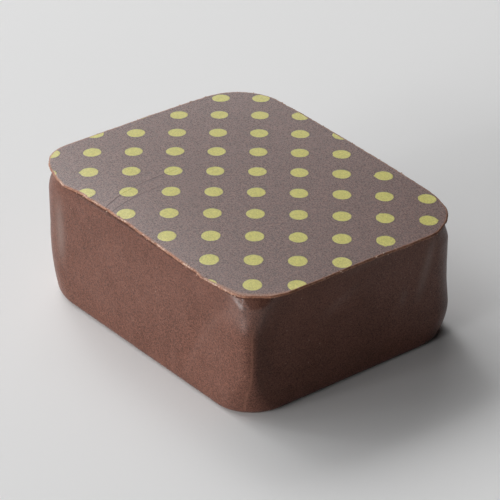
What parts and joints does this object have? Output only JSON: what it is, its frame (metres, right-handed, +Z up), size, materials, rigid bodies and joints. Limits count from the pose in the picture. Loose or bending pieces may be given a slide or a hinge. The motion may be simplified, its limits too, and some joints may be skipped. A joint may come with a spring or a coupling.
{
  "type": "milk chocolate praline",
  "caption": "Dipped milk chocolate praline: a soft-edged rectangular block under a thin, slightly crowned top plate with a fine lip and a printed polka-dot pattern.",
  "frame": {"origin": "on the flat base, under the middle of the whole piece", "axes": "+Z up from the base to the printed face, X along the long sides, Y along the short sides"},
  "size_m": [0.032, 0.0248, 0.0122],
  "materials": {
    "milk_chocolate": "milk chocolate coating, soft satin sheen with a fine grain and pale specks",
    "printed_chocolate": "smooth milk chocolate set against a film, with a flush print of round yellow-green dots and a broken tan edge"
  },
  "bodies": {
    "root": {"coated_body": "milk_chocolate", "printed_top": "printed_chocolate"}
  },
  "joints": []
}
